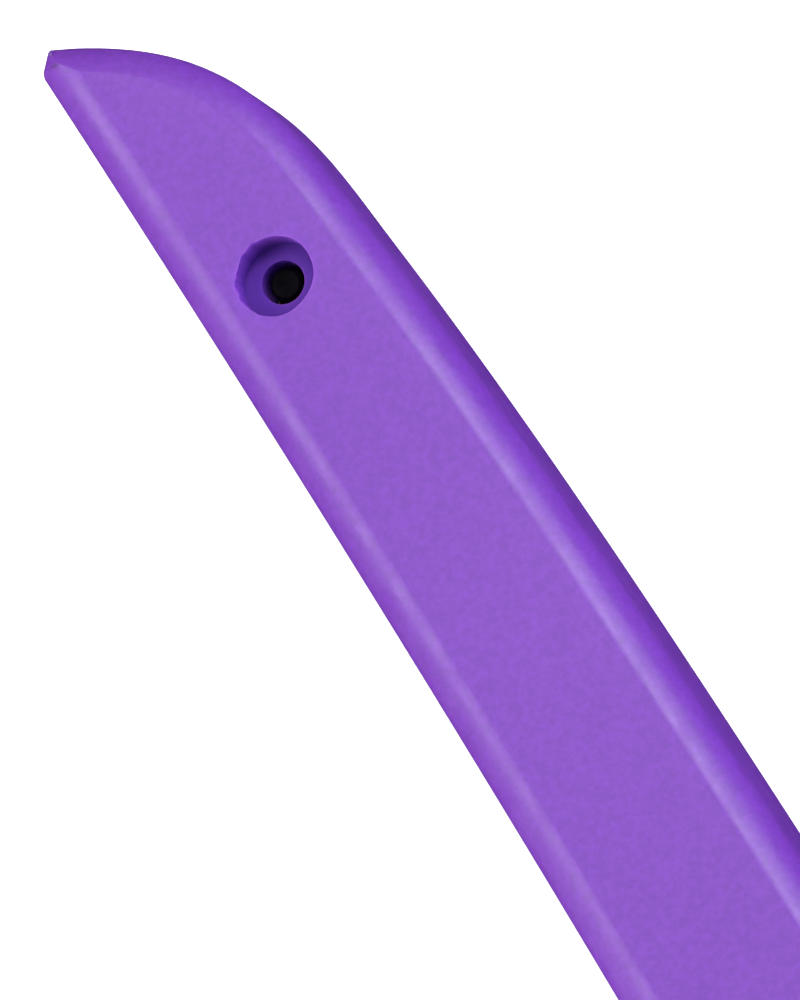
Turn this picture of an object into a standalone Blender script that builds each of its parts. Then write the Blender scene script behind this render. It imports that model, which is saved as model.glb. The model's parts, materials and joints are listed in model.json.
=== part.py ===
"""Decorative edge scissors: two moulded arms with wavy steel blades on one screw pivot.

Frame: the pivot axis is the Z axis and the tool rests on z = 0. The finger arm is the fixed one, with its
cutting line along +X, and the thumb arm lies over it, turned open about the pivot.

Each arm is modelled in its own arm frame: pivot at the origin, tip towards +X, cutting edge on y = 0 with
the blade's back at y < 0, handle at x < 0 and y > 0, and +Z from the shear plane towards the outer face.
The finger arm is the thumb arm's frame turned half a turn about X.
"""

import math

import bmesh
import bpy
import numpy as np

MM = 0.001

# Stack through the thickness, measured in the arm frame from the shear plane
OUTER_FACE = 5.5 * MM
GAP = 0.3 * MM
FIRST_PLASTIC = 0.15 * MM
BLADE_THICKNESS = 0.8 * MM
WAVE_AMPLITUDE = 1.0 * MM
BLADE_FACE = GAP / 2
FLANGE_FACE = BLADE_FACE + WAVE_AMPLITUDE
POCKET_FLOOR = FLANGE_FACE + BLADE_THICKNESS + GAP

# How far the thumb arm is open
REST_OPENING = math.radians(50)

# Arm outline: the cutting side bows in slightly, and the back is two cubic curves from the tip facet
CUT_SIDE_Y = 0.35 * MM
CUT_SIDE_BOW = 0.32 * MM
TIP_FACET = [(72.3 * MM, CUT_SIDE_Y), (73.3 * MM, -0.65 * MM)]
NOSE_HANDLES = [(68.2 * MM, -8.85 * MM), (62.65 * MM, -8.53 * MM)]
NOSE_END = (56.3 * MM, -9.05 * MM)
BACK_HANDLES = [(44.55 * MM, -10.02 * MM), (30.0 * MM, -10.3 * MM)]
BACK_END = (11.0 * MM, -10.3 * MM)
BOSS_RADIUS = 10.3 * MM
BOSS_ARC = (math.radians(-90), math.radians(-262))
CHOIL_X = 11.8 * MM
COVER_RIM = 1.15 * MM

# Handle outlines: straight shanks that meet when the tool is closed, then knots in mm round each bow
HANDLE_RIM = 2.6 * MM
SHANK_SIDE_Y = 0.3 * MM
SHANK_ROOT = [
    (-8.8 * MM, 7.9 * MM), (-3.0 * MM, 8.2 * MM), (-3.0 * MM, SHANK_SIDE_Y), (-36.0 * MM, SHANK_SIDE_Y),
]
SHANK_NECK = [(-22, 10.6), (-14, 9.7)]
THUMB_BOW = [
    (-47, 0.5), (-61, 1.6), (-77, 3.2), (-87.5, 10.5), (-90, 22), (-84, 33.5), (-70.5, 38.5),
    (-56.5, 35), (-46, 24.5), (-34, 14.5),
]
FINGER_BOW = [
    (-41, 0.5), (-57, 1.2), (-76, 2.2), (-88, 8), (-92, 19.5), (-87.5, 31.5), (-73, 38.5),
    (-54, 37), (-40, 28), (-30.5, 15.5),
]
THUMB_HOLE = (-69.2 * MM, 20.6 * MM, 14.0 * MM, 11.2 * MM, math.radians(-8))
FINGER_HOLE = (-65.5 * MM, 20.4 * MM, 20.6 * MM, 12.0 * MM, math.radians(-6))

# Clearances cut in the arms
SWEEP_RADIUS = 10.9 * MM
COVER_WALL = 2.0 * MM
HALF_CUT_REACH = 80.0 * MM
HALF_CUT_SIDE = 20.0 * MM
POCKET_OPEN_SIDE = 3.0 * MM
FAR = 10.0 * MM

# Blade
EDGE_Y = 0.3 * MM
TANG_RADIUS = 7.0 * MM
TANG_START_X = -6.4 * MM
TANG_END_X = 14.0 * MM
TANG_BLEND = 4.0 * MM
BLADE_END_X = 70.2 * MM
EDGE_START_X = 13.0 * MM
WAVE_START_R = 14.0 * MM
WAVE_FULL_R = 17.0 * MM
WAVE_LENGTH = 6.5 * MM
WAVE_BAND = (0.9 * MM, 2.6 * MM)
TANG_COLUMNS = 9
WAVE_COLUMNS = 68
BAND_ROWS = 5
FLANGE_ROWS = 2

# Blade screw and its stepped hole
SCREW_AT = (56.5 * MM, -4.25 * MM)
SCREW_RADIUS = 0.8 * MM
SCREW_END = 3.95 * MM
SCREW_HEAD = (1.65 * MM, 0.9 * MM)
SCREW_HEAD_FACE = 0.7
SCREW_HEAD_RIM = 0.4
SCREW_POINT = 0.6
CROSS_REACH = 0.62
CROSS_DEPTH = 0.5
BLADE_HOLE_RADIUS = 1.1 * MM
PILOT_RADIUS = 1.05 * MM
RECESS_RADIUS = 1.9 * MM
RECESS_FLOOR = 4.25 * MM
SLOT_WIDTH = 0.5 * MM

# Pivot, measured from the table
PIVOT_BORE = 3.2 * MM
BARREL_RADIUS = 2.9 * MM
BARREL_TOP = 7.6 * MM
NUT_ACROSS_CORNERS = 10.4 * MM
NUT_FLANGE = 1.4 * MM
NUT_THREAD = (1.6 * MM, 2.4 * MM)
HEAD_RADIUS = 5.2 * MM
HEAD_THICKNESS = 1.35 * MM
HEAD_DOME = 0.3 * MM
HEAD_FLAT = 0.8
PIVOT_SHANK_RADIUS = 1.3 * MM
PIVOT_SHANK_END = 3.0 * MM
PIVOT_SLOT = (1.2 * MM, 0.7 * MM)
SLOT_REACH = 1.2
WAVE_WASHER = (3.2 * MM, 5.1 * MM, 0.35 * MM)
WAVE_WASHER_HUMPS = 3
WAVE_WASHER_RISE = 0.12 * MM
SPACER_RADIUS = 6.6 * MM

CURVE_STEPS = 6
NOSE_STEPS = 12
BACK_STEPS = 6
CUT_SIDE_STEPS = 8
BOSS_STEPS = 40
CIRCLE_STEPS = 32
SMALL_STEPS = 20
RIM_STEPS = 2
WELD = 0.000001
SHARP_ANGLE = math.radians(35)

SHEAR_Z = OUTER_FACE
TABLE_TO_TOP = 2 * OUTER_FACE


def clear_scene():
    for item in list(bpy.data.objects):
        bpy.data.objects.remove(item, do_unlink=True)


def new_collection(name, hidden=False):
    collection = bpy.data.collections.new(name)
    collection.hide_render = hidden
    bpy.context.scene.collection.children.link(collection)
    return collection


def new_material(name, colour, roughness, metallic):
    material = bpy.data.materials.new(name)
    material.use_nodes = True
    shader = material.node_tree.nodes["Principled BSDF"]
    shader.inputs["Base Color"].default_value = (*colour, 1.0)
    shader.inputs["Roughness"].default_value = roughness
    shader.inputs["Metallic"].default_value = metallic
    material.diffuse_color = (*colour, 1.0)
    return material


def new_frame(name, location, rotation):
    """An empty that carries everything modelled in one arm's frame."""
    empty = bpy.data.objects.new(name, None)
    empty.location = location
    empty.rotation_euler = rotation
    parts.objects.link(empty)
    return empty


def place(item, frame, material=None):
    """Puts a piece, or a cutter when it has no material, in its frame."""
    item.parent = frame
    if material is None:
        item.hide_render = True
        item.display_type = "WIRE"
        cutters.objects.link(item)
        return item
    item.data.materials.clear()
    item.data.materials.append(material)
    parts.objects.link(item)
    item.data.shade_smooth()
    item.data.set_sharp_from_angle(angle=SHARP_ANGLE)
    return item


def circle(radius, steps=CIRCLE_STEPS, centre=(0.0, 0.0), start=0.0, sweep=2 * math.pi):
    """Points along a circle, without its last point when it is a full turn."""
    last = 0 if abs(sweep) >= 2 * math.pi else 1
    angles = [start + sweep * i / steps for i in range(steps + last)]
    return [(centre[0] + radius * math.cos(a), centre[1] + radius * math.sin(a)) for a in angles]


def ellipse(x, y, half_length, half_width, turn, steps=CIRCLE_STEPS):
    points = []
    along, across = math.cos(turn), math.sin(turn)
    for i in range(steps):
        a = 2 * math.pi * i / steps
        u, v = half_length * math.cos(a), half_width * math.sin(a)
        points.append((x + u * along - v * across, y + u * across + v * along))
    return points


def bezier(start, first, second, end, steps):
    """Points on one cubic curve, its start left out."""
    points = []
    for i in range(1, steps + 1):
        t = i / steps
        weights = ((1 - t) ** 3, 3 * t * (1 - t) ** 2, 3 * t * t * (1 - t), t ** 3)
        corners = (start, first, second, end)
        points.append(tuple(sum(w * c[k] for w, c in zip(weights, corners)) for k in (0, 1)))
    return points


def add_loop(curve, points, smooth):
    """One closed loop of a flat outline; smooth flags the points that the outline rounds through."""
    spline = curve.splines.new("BEZIER")
    spline.bezier_points.add(len(points) - 1)
    for knot, point, rounded in zip(spline.bezier_points, points, smooth):
        knot.co = (*point, 0.0)
        knot.handle_left_type = knot.handle_right_type = "AUTO" if rounded else "VECTOR"
    spline.use_cyclic_u = True
    spline.resolution_u = CURVE_STEPS


def add_polygon(curve, points):
    spline = curve.splines.new("POLY")
    spline.points.add(len(points) - 1)
    for knot, point in zip(spline.points, points):
        knot.co = (*point, 0.0, 1.0)
    spline.use_cyclic_u = True


def solid_of_outline(name, curve, low, high, rim=0.0, grow=0.0):
    """A mesh object of a flat outline between two heights, its rims rounded and its caps welded."""
    curve.dimensions = "2D"
    curve.fill_mode = "BOTH"
    curve.extrude = (high - low) / 2 - rim
    curve.bevel_depth = rim
    curve.bevel_resolution = RIM_STEPS
    curve.offset = grow - rim
    holder = bpy.data.objects.new(name, curve)
    cutters.objects.link(holder)
    graph = bpy.context.evaluated_depsgraph_get()
    mesh = bpy.data.meshes.new_from_object(holder.evaluated_get(graph))
    bpy.data.objects.remove(holder)
    mesh.name = name
    body = bmesh.new()
    body.from_mesh(mesh)
    bmesh.ops.translate(body, vec=(0.0, 0.0, (low + high) / 2), verts=body.verts)
    bmesh.ops.remove_doubles(body, verts=body.verts, dist=WELD)
    bmesh.ops.recalc_face_normals(body, faces=body.faces)
    body.to_mesh(mesh)
    body.free()
    return bpy.data.objects.new(name, mesh)


def solid_of_polygons(name, loops, low, high, rim=0.0, grow=0.0):
    curve = bpy.data.curves.new(name, "CURVE")
    for points in loops:
        add_polygon(curve, points)
    return solid_of_outline(name, curve, low, high, rim, grow)


def cylinder(name, radius, low, high, at=(0.0, 0.0), steps=CIRCLE_STEPS):
    body = bmesh.new()
    bmesh.ops.create_cone(
        body, cap_ends=True, segments=steps, radius1=radius, radius2=radius, depth=high - low
    )
    bmesh.ops.translate(body, vec=(*at, (low + high) / 2), verts=body.verts)
    mesh = bpy.data.meshes.new(name)
    body.to_mesh(mesh)
    body.free()
    return bpy.data.objects.new(name, mesh)


def box(name, low, high):
    body = bmesh.new()
    bmesh.ops.create_cube(body, size=1.0)
    size = [b - a for a, b in zip(low, high)]
    bmesh.ops.scale(body, vec=size, verts=body.verts)
    bmesh.ops.translate(body, vec=[(a + b) / 2 for a, b in zip(low, high)], verts=body.verts)
    mesh = bpy.data.meshes.new(name)
    body.to_mesh(mesh)
    body.free()
    return bpy.data.objects.new(name, mesh)


def turned(name, profile, steps=CIRCLE_STEPS, at=(0.0, 0.0)):
    """A turned piece: its profile of (radius, height) runs down the outer side from axis to axis."""
    mesh = bpy.data.meshes.new(name)
    points = [(radius, 0.0, height) for radius, height in profile]
    mesh.from_pydata(points, [(i, i + 1) for i in range(len(points) - 1)], [])
    item = bpy.data.objects.new(name, mesh)
    item.location = (*at, 0.0)
    screw = item.modifiers.new("turn", "SCREW")
    screw.axis = "Z"
    screw.steps = screw.render_steps = steps
    screw.use_merge_vertices = True
    screw.merge_threshold = WELD
    return item


def cut(item, *tools):
    for tool in tools:
        boolean = item.modifiers.new("cut " + tool.name, "BOOLEAN")
        boolean.operation = "DIFFERENCE"
        boolean.solver = "EXACT"
        boolean.object = tool


def join(item, other):
    boolean = item.modifiers.new("join " + other.name, "BOOLEAN")
    boolean.operation = "UNION"
    boolean.solver = "EXACT"
    boolean.object = other


def back_points():
    """The arm's back from the tip facet to the boss."""
    nose = bezier(TIP_FACET[1], *NOSE_HANDLES, NOSE_END, NOSE_STEPS)
    return [TIP_FACET[1], *nose, *bezier(NOSE_END, *BACK_HANDLES, BACK_END, BACK_STEPS)]


def cut_side_points():
    """The cutting side from the choil to the tip facet, bowed in like a shallow parabola."""
    points = []
    length = TIP_FACET[0][0] - CHOIL_X
    for i in range(CUT_SIDE_STEPS + 1):
        t = i / CUT_SIDE_STEPS
        points.append((CHOIL_X + length * t, CUT_SIDE_Y - CUT_SIDE_BOW * 4 * t * (1 - t)))
    return points


def cover_outline():
    """Cutting side, tip facet, back and the round boss, as one closed loop."""
    boss = circle(BOSS_RADIUS, BOSS_STEPS, start=BOSS_ARC[0], sweep=BOSS_ARC[1])
    return [*cut_side_points(), *back_points(), *boss]


def handle_outline(name, bow, hole):
    """Shank and bow as one smooth outline, its root inside the boss, with the finger hole in it."""
    curve = bpy.data.curves.new(name, "CURVE")
    rounded = [(x * MM, y * MM) for x, y in bow + SHANK_NECK]
    add_loop(curve, SHANK_ROOT + rounded, [False] * len(SHANK_ROOT) + [True] * len(rounded))
    add_polygon(curve, ellipse(*hole))
    return curve


def blade_top(x):
    """The blade's edge side at x: the cutting edge, then a straight run onto the round tang."""
    reach = math.hypot(EDGE_START_X, EDGE_Y)
    touch = math.acos(TANG_RADIUS / reach) + math.atan2(EDGE_Y, EDGE_START_X)
    touch_x, touch_y = TANG_RADIUS * math.cos(touch), TANG_RADIUS * math.sin(touch)
    if x <= touch_x:
        return math.sqrt(TANG_RADIUS ** 2 - x * x)
    return float(np.interp(x, [touch_x, EDGE_START_X], [touch_y, EDGE_Y]))


def smooth_step(low, high, value):
    t = min(max((value - low) / (high - low), 0.0), 1.0)
    return t * t * (3 - 2 * t)


def blade_bottom(x):
    """The blade's back side at x: the arm's back less its wall, then down to the round tang."""
    if x <= 0.0:
        return -math.sqrt(TANG_RADIUS ** 2 - x * x)
    back = sorted(back_points())
    wide = -float(np.interp(x, [p[0] for p in back], [p[1] for p in back])) - COVER_WALL
    blend = smooth_step(0.0, TANG_END_X, x)
    return -(TANG_RADIUS + (wide - TANG_RADIUS) * blend)


def blade_columns():
    tang = [TANG_START_X + (TANG_END_X - TANG_START_X) * i / TANG_COLUMNS for i in range(TANG_COLUMNS)]
    wave = [TANG_END_X + (BLADE_END_X - TANG_END_X) * i / WAVE_COLUMNS for i in range(WAVE_COLUMNS + 1)]
    return tang + wave


def wave_height(x, y):
    """The wave depends only on the distance from the pivot, so the blades slide past each other."""
    radius = math.hypot(x, y)
    growth = smooth_step(WAVE_START_R, WAVE_FULL_R, radius)
    return WAVE_AMPLITUDE * growth * math.sin(2 * math.pi * (radius - WAVE_START_R) / WAVE_LENGTH)


def blade_height(x, y, depth, wave_sign):
    flat = smooth_step(*WAVE_BAND, depth)
    tang = 1 - smooth_step(TANG_END_X - TANG_BLEND, TANG_END_X, x)
    flat = max(flat, tang)
    return BLADE_FACE + (1 - flat) * wave_sign * wave_height(x, y) + flat * WAVE_AMPLITUDE


def blade_sheet(name, wave_sign):
    """The stamped sheet: a grid shaped by the wave, with its thickness on the outer side."""
    columns = blade_columns()
    rows = BAND_ROWS + FLANGE_ROWS
    body = bmesh.new()
    bmesh.ops.create_grid(body, x_segments=len(columns) - 1, y_segments=rows, size=1.0)
    for vertex in body.verts:
        column = round((vertex.co.x + 1) / 2 * (len(columns) - 1))
        row = round((1 - vertex.co.y) / 2 * rows)
        x = columns[column]
        width = blade_top(x) - blade_bottom(x)
        band = WAVE_BAND[1]
        if row <= BAND_ROWS:
            depth = band * row / BAND_ROWS
        else:
            depth = band + (width - band) * (row - BAND_ROWS) / FLANGE_ROWS
        y = blade_top(x) - depth
        vertex.co = (x, y, blade_height(x, y, depth, wave_sign))
    bmesh.ops.recalc_face_normals(body, faces=body.faces)
    if sum(face.normal.z for face in body.faces) < 0:
        bmesh.ops.reverse_faces(body, faces=body.faces)
    mesh = bpy.data.meshes.new(name)
    body.to_mesh(mesh)
    body.free()
    item = bpy.data.objects.new(name, mesh)
    solid = item.modifiers.new("sheet", "SOLIDIFY")
    solid.thickness = BLADE_THICKNESS
    solid.offset = 1.0
    return item


def pocket(name, frame):
    """The space in the arm for its blade, open on the cutting side."""
    columns = blade_columns()
    top = [(x, blade_top(x) if x < EDGE_START_X else POCKET_OPEN_SIDE) for x in columns]
    bottom = [(x, blade_bottom(x)) for x in reversed(columns)]
    return place(solid_of_polygons(name, [top + bottom], -FAR, POCKET_FLOOR, grow=GAP), frame)


def inner_half(name, frame):
    """What lies past the shear plane: the blade side's half, and the disc that the other boss turns in."""
    arc = circle(SWEEP_RADIUS, CIRCLE_STEPS, start=math.radians(90), sweep=math.pi)
    side = [(0.0, -HALF_CUT_SIDE), (HALF_CUT_REACH, -HALF_CUT_SIDE), (HALF_CUT_REACH, HALF_CUT_SIDE),
            (0.0, HALF_CUT_SIDE)]
    return place(solid_of_polygons(name, [arc + side], -FAR, FIRST_PLASTIC), frame)


def arm(name, frame, bow, hole, head_cut):
    """One moulded arm, cut for its blade, its blade screw and the pivot."""
    item = place(
        solid_of_polygons(name, [cover_outline()], -OUTER_FACE, OUTER_FACE, COVER_RIM), frame, plastic
    )
    curve = handle_outline(name + "_handle", bow, hole)
    handle = place(solid_of_outline(name + "_handle", curve, -OUTER_FACE, OUTER_FACE, HANDLE_RIM), frame)
    join(item, handle)
    recess = cylinder(name + "_recess", RECESS_RADIUS, RECESS_FLOOR, FAR, SCREW_AT, SMALL_STEPS)
    pilot = cylinder(name + "_pilot", PILOT_RADIUS, 0.0, FAR, SCREW_AT, SMALL_STEPS)
    bore = cylinder(name + "_bore", PIVOT_BORE, -FAR, FAR)
    cut(item, inner_half(name + "_inner_half", frame), pocket(name + "_pocket", frame))
    cut(item, *(place(tool, frame) for tool in (recess, pilot, bore)), head_cut)
    return item


def blade(name, frame, wave_sign):
    item = place(blade_sheet(name, wave_sign), frame, steel)
    hole = cylinder(name + "_screw_hole", BLADE_HOLE_RADIUS, -FAR, FAR, SCREW_AT, SMALL_STEPS)
    bore = cylinder(name + "_bore", PIVOT_BORE, -FAR, FAR)
    cut(item, place(hole, frame), place(bore, frame))
    return item


def blade_screw(name, frame):
    """A pan-head screw driven from the inner side through the blade into the arm."""
    radius, height = SCREW_HEAD
    under = FLANGE_FACE - GAP
    face = under - height
    point = SCREW_RADIUS * SCREW_POINT
    profile = [
        (0.0, SCREW_END), (SCREW_RADIUS - point, SCREW_END), (SCREW_RADIUS, SCREW_END - point),
        (SCREW_RADIUS, under), (radius, under), (radius, face + height * SCREW_HEAD_RIM),
        (radius * SCREW_HEAD_FACE, face), (0.0, face),
    ]
    item = place(turned(name, profile, SMALL_STEPS, SCREW_AT), frame, black_steel)
    x, y = SCREW_AT
    half = SLOT_WIDTH / 2
    depth = face + height * CROSS_DEPTH
    reach = radius * CROSS_REACH
    along = box(name + "_cross_1", (x - reach, y - half, face - FAR), (x + reach, y + half, depth))
    across = box(name + "_cross_2", (x - half, y - reach, face - FAR), (x + half, y + reach, depth))
    cut(item, place(along, frame), place(across, frame))
    return item


def pivot_screw(frame):
    head_low = TABLE_TO_TOP - HEAD_THICKNESS
    profile = [
        (0.0, TABLE_TO_TOP), (HEAD_RADIUS * HEAD_FLAT, TABLE_TO_TOP), (HEAD_RADIUS, TABLE_TO_TOP - HEAD_DOME),
        (HEAD_RADIUS, head_low), (PIVOT_SHANK_RADIUS, head_low), (PIVOT_SHANK_RADIUS, PIVOT_SHANK_END),
        (0.0, PIVOT_SHANK_END),
    ]
    item = place(turned("pivot_screw", profile), frame, nickel)
    width, depth = PIVOT_SLOT
    reach = HEAD_RADIUS * SLOT_REACH
    slot = box(
        "pivot_screw_slot", (-reach, -width / 2, TABLE_TO_TOP - depth), (reach, width / 2, TABLE_TO_TOP + FAR)
    )
    cut(item, place(slot, frame))
    return item


def pivot_nut(frame):
    """A blind barrel nut whose hexagonal flange keys it in the finger arm."""
    flange = cylinder("pivot_nut", NUT_ACROSS_CORNERS / 2, 0.0, NUT_FLANGE, steps=6)
    item = place(flange, frame, nickel)
    overlap = NUT_FLANGE / 2
    join(item, place(cylinder("pivot_nut_barrel", BARREL_RADIUS, overlap, BARREL_TOP), frame))
    radius, floor = NUT_THREAD
    cut(item, place(cylinder("pivot_nut_thread", radius, floor, BARREL_TOP + FAR), frame))
    return item


def ring(name, inner, outer, low, high, frame, material):
    loops = [circle(outer), circle(inner)]
    return place(solid_of_polygons(name, loops, low, high), frame, material)


def wave_washer(frame):
    inner, outer, thickness = WAVE_WASHER
    low = TABLE_TO_TOP - HEAD_THICKNESS - GAP - thickness
    item = ring("wave_washer", inner, outer, low, low + thickness, frame, nickel)
    for vertex in item.data.vertices:
        turn = WAVE_WASHER_HUMPS * math.atan2(vertex.co.y, vertex.co.x)
        vertex.co.z += WAVE_WASHER_RISE * math.cos(turn)
    return item


def spacer_washer(frame):
    half = FLANGE_FACE - GAP
    return ring("spacer_washer", PIVOT_BORE, SPACER_RADIUS, SHEAR_Z - half, SHEAR_Z + half, frame, nylon)


clear_scene()
parts = new_collection("decorative_edge_scissors")
cutters = new_collection("cutters", hidden=True)
plastic = new_material("purple_plastic", (0.28, 0.11, 0.60), 0.35, 0.0)
steel = new_material("stainless_steel", (0.62, 0.62, 0.63), 0.28, 1.0)
black_steel = new_material("black_oxide_steel", (0.03, 0.03, 0.035), 0.45, 1.0)
nickel = new_material("nickel_plate", (0.72, 0.71, 0.69), 0.22, 1.0)
nylon = new_material("white_nylon", (0.85, 0.85, 0.82), 0.5, 0.0)

table = new_frame("pivot_frame", (0.0, 0.0, 0.0), (0.0, 0.0, 0.0))
thumb_frame = new_frame("thumb_arm_frame", (0.0, 0.0, SHEAR_Z), (0.0, 0.0, -REST_OPENING))
finger_frame = new_frame("finger_arm_frame", (0.0, 0.0, SHEAR_Z), (math.pi, 0.0, 0.0))

washer_floor = OUTER_FACE - HEAD_THICKNESS - WAVE_WASHER[2] - 2 * GAP
head_cut = place(cylinder("head_counterbore", HEAD_RADIUS + GAP, washer_floor, FAR), thumb_frame)
nut_cut = place(
    cylinder("nut_pocket", NUT_ACROSS_CORNERS / 2 + GAP, OUTER_FACE - NUT_FLANGE - GAP, FAR, steps=6),
    finger_frame,
)

arm("thumb_arm", thumb_frame, THUMB_BOW, THUMB_HOLE, head_cut)
arm("finger_arm", finger_frame, FINGER_BOW, FINGER_HOLE, nut_cut)
blade("thumb_blade", thumb_frame, 1)
blade("finger_blade", finger_frame, -1)
blade_screw("thumb_blade_screw", thumb_frame)
blade_screw("finger_blade_screw", finger_frame)
pivot_screw(table)
pivot_nut(table)
wave_washer(table)
spacer_washer(table)
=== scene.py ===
import json
import math

import bmesh
import bpy
import numpy as np
from mathutils import Matrix, Vector

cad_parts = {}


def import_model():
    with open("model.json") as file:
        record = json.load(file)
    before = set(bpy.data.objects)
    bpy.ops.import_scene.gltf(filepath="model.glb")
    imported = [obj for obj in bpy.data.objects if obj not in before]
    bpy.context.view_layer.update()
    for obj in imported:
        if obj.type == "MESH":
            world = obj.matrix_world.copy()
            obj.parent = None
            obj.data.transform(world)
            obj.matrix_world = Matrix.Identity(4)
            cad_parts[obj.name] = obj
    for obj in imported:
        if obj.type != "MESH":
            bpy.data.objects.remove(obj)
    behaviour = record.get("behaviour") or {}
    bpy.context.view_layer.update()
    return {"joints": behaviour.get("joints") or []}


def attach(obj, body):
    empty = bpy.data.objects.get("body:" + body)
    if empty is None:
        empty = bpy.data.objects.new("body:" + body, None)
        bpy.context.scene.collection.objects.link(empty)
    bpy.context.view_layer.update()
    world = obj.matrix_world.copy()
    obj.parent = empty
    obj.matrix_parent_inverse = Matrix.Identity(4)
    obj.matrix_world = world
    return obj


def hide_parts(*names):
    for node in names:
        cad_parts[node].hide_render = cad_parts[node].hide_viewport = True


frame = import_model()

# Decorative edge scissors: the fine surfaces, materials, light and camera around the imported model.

MM = 0.001

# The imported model's own frame: each arm lies in a frame of its own, on the pivot and the shear plane
PIVOT = frame["joints"][0]
SHEAR_Z = PIVOT["pos_m"][2]
REST_OPENING = -math.radians(PIVOT["range_deg"][0])
THUMB_FRAME = Matrix.Translation((0, 0, SHEAR_Z)) @ Matrix.Rotation(-REST_OPENING, 4, "Z")
FINGER_FRAME = Matrix.Translation((0, 0, SHEAR_Z)) @ Matrix.Rotation(math.pi, 4, "X")
TOP = SHEAR_Z / MM

# Arm outline in mm, as in the CAD model
CUT_SIDE_Y = 0.35
CUT_SIDE_BOW = 0.32
TIP_FACET = [(72.3, CUT_SIDE_Y), (73.3, -0.65)]
NOSE_HANDLES = [(68.2, -8.85), (62.65, -8.53)]
NOSE_END = (56.3, -9.05)
BACK_HANDLES = [(44.55, -10.02), (30.0, -10.3)]
BACK_END = (11.0, -10.3)
BOSS_RADIUS = 10.3
CHOIL_X = 11.8
BOSS_MEETS_NECK = 128.8
BOSS_MEETS_CHOIL = 8.0
SHANK_SIDE_Y = 0.3
NECK = (-8.8, 7.9)
SHANK_NECK = [(-22, 10.6), (-14, 9.7)]
SHANK_STRAIGHT_END = (-36.0, SHANK_SIDE_Y)
THUMB_BOW = [
    (-47, 0.5), (-61, 1.6), (-77, 3.2), (-87.5, 10.5), (-90, 22), (-84, 33.5), (-70.5, 38.5),
    (-56.5, 35), (-46, 24.5), (-34, 14.5),
]
FINGER_BOW = [
    (-41, 0.5), (-57, 1.2), (-76, 2.2), (-88, 8), (-92, 19.5), (-87.5, 31.5), (-73, 38.5),
    (-54, 37), (-40, 28), (-30.5, 15.5),
]
THUMB_HOLE = (-69.2, 20.6, 14.0, 11.2, math.radians(-8))
FINGER_HOLE = (-65.5, 20.4, 20.6, 12.0, math.radians(-6))
AUTO_HANDLE = 2.5614

# Fineness of the outlines
CHAIN_STEPS = 24
BACK_STEPS = 40
CUT_SIDE_STEPS = 80
BOSS_BACK_STEPS = 40
BOSS_FRONT_STEPS = 60
EASE_STEPS = 8
HOLE_STEPS = 160
SAME_PLACE = 1e-6
PARALLEL = 1e-12
SHARP_TURN = 8.0
OUTLINE_STEP = 0.35
TIP_STEP = 0.05
TIP_REACH = 2.4
TIP_WINDOW = 170

# Rounding of the arms' rims
COVER_RIM = 1.5
CUT_SIDE_RIM = 0.3
CUT_SIDE_BAND = (-2.0, 1.5)
CUT_SIDE_FADE = 4.0
BOW_RIM = 2.7
BOW_DROP = 4.3
RIM_GROWS_X = (-12.0, -34.0)
CREST_ANGLE = math.radians(12)
RIM_STEPS = 10
CREST_FLAT = 0.12
SUNK_WIDTH = 0.6
SUNK_DEPTH = 0.03
DRAFT = 0.06
MID_WALL = 0.6
LEAST_COSINE = 0.5
BASE_ROUND = 0.45
BASE_ROUND_X = (-13.0, -11.0)
BASE_STEPS = 5
CHOIL_CORNER = (CHOIL_X - 1.2, CUT_SIDE_Y)
NECK_CORNER = (NECK[0] + 2.2, NECK[1])
CORNER_BLEND = 1.6
SHANK_BLEND = 0.5
BLEND_PASSES = 24
BLEND_PULL = 0.8
TIP_EASE = 0.3
WELD = 0.0005

# Stack through the arm, from the shear plane
FIRST_PLASTIC = 0.15
SWEEP_RADIUS = 10.9
FLANGE_FACE = 1.15
BLADE_THICKNESS = 0.8
POCKET_FLOOR = 2.25
GAP = 0.3
FAR = 10.0
HALF_CUT_REACH = 80.0
HALF_CUT_SIDE = 20.0
SWEEP_STEPS = 96

# Blade
EDGE_Y = 0.3
TANG_RADIUS = 7.0
TANG_START_X = -6.4
TANG_END_X = 14.0
TANG_BLEND = 4.0
BLADE_END_X = 70.2
EDGE_START_X = 13.0
COVER_WALL = 2.0
POCKET_OPEN_SIDE = 3.0
POCKET_STEPS = (60, 120)
WAVE_AMPLITUDE = 1.0
WAVE_START_R = 14.0
WAVE_FULL_R = 17.0
WAVE_LENGTH = 6.5
WAVE_BAND = (0.9, 2.6)
BLADE_FACE = 0.15
GROUND_WIDTH = 0.75
GROUND_EDGE = 0.12
BLADE_HOLE_RADIUS = 1.1
BLADE_COLUMNS = 520
BAND_ROWS = 22
FLANGE_ROWS = 10

# Screws and pivot
SCREW_AT = (56.5, -4.25)
RECESS_RADIUS = 1.9
RECESS_FLOOR = 4.25
RECESS_LIP = 0.10
RECESS_STEPS = 180
LIP_SIZE = 0.35
LIP_STEPS = 5
LIP_REACH = 3
LIP_RISE = 0.02
RAGGED_AT = math.radians(45)
RAGGED_DEPTH = 0.22
RAGGED_SIZE = 0.10
RAGGED_SPREAD = 0.9
RAGGED_FALL = 0.7
RAGGED_OVAL = (5, 0.2)
RAGGED_CHIPS = [(6, 0.9, 0.5), (11, 2.1, 0.4), (17, 0.4, 0.3), (29, 1.3, 0.2)]
PILOT_RADIUS = 1.05
PILOT_OVERLAP = 0.5
SCREW_END = 3.95
PIVOT_BORE = 3.2
HEAD_RADIUS = 5.2
HEAD_THICKNESS = 1.35
HEAD_DOME = 0.16
HEAD_DOME_SPAN = 0.86
DOME_RINGS = (0.0, 0.25, 0.5, 0.75)
HEAD_RIM = (0.35, 6)
NUT_ACROSS_CORNERS = 10.4
NUT_FLANGE = 1.4
NUT_CHAMFER = (0.3, 0.18, 0.1, 0.15)
HEX_SIDES = 6
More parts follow.
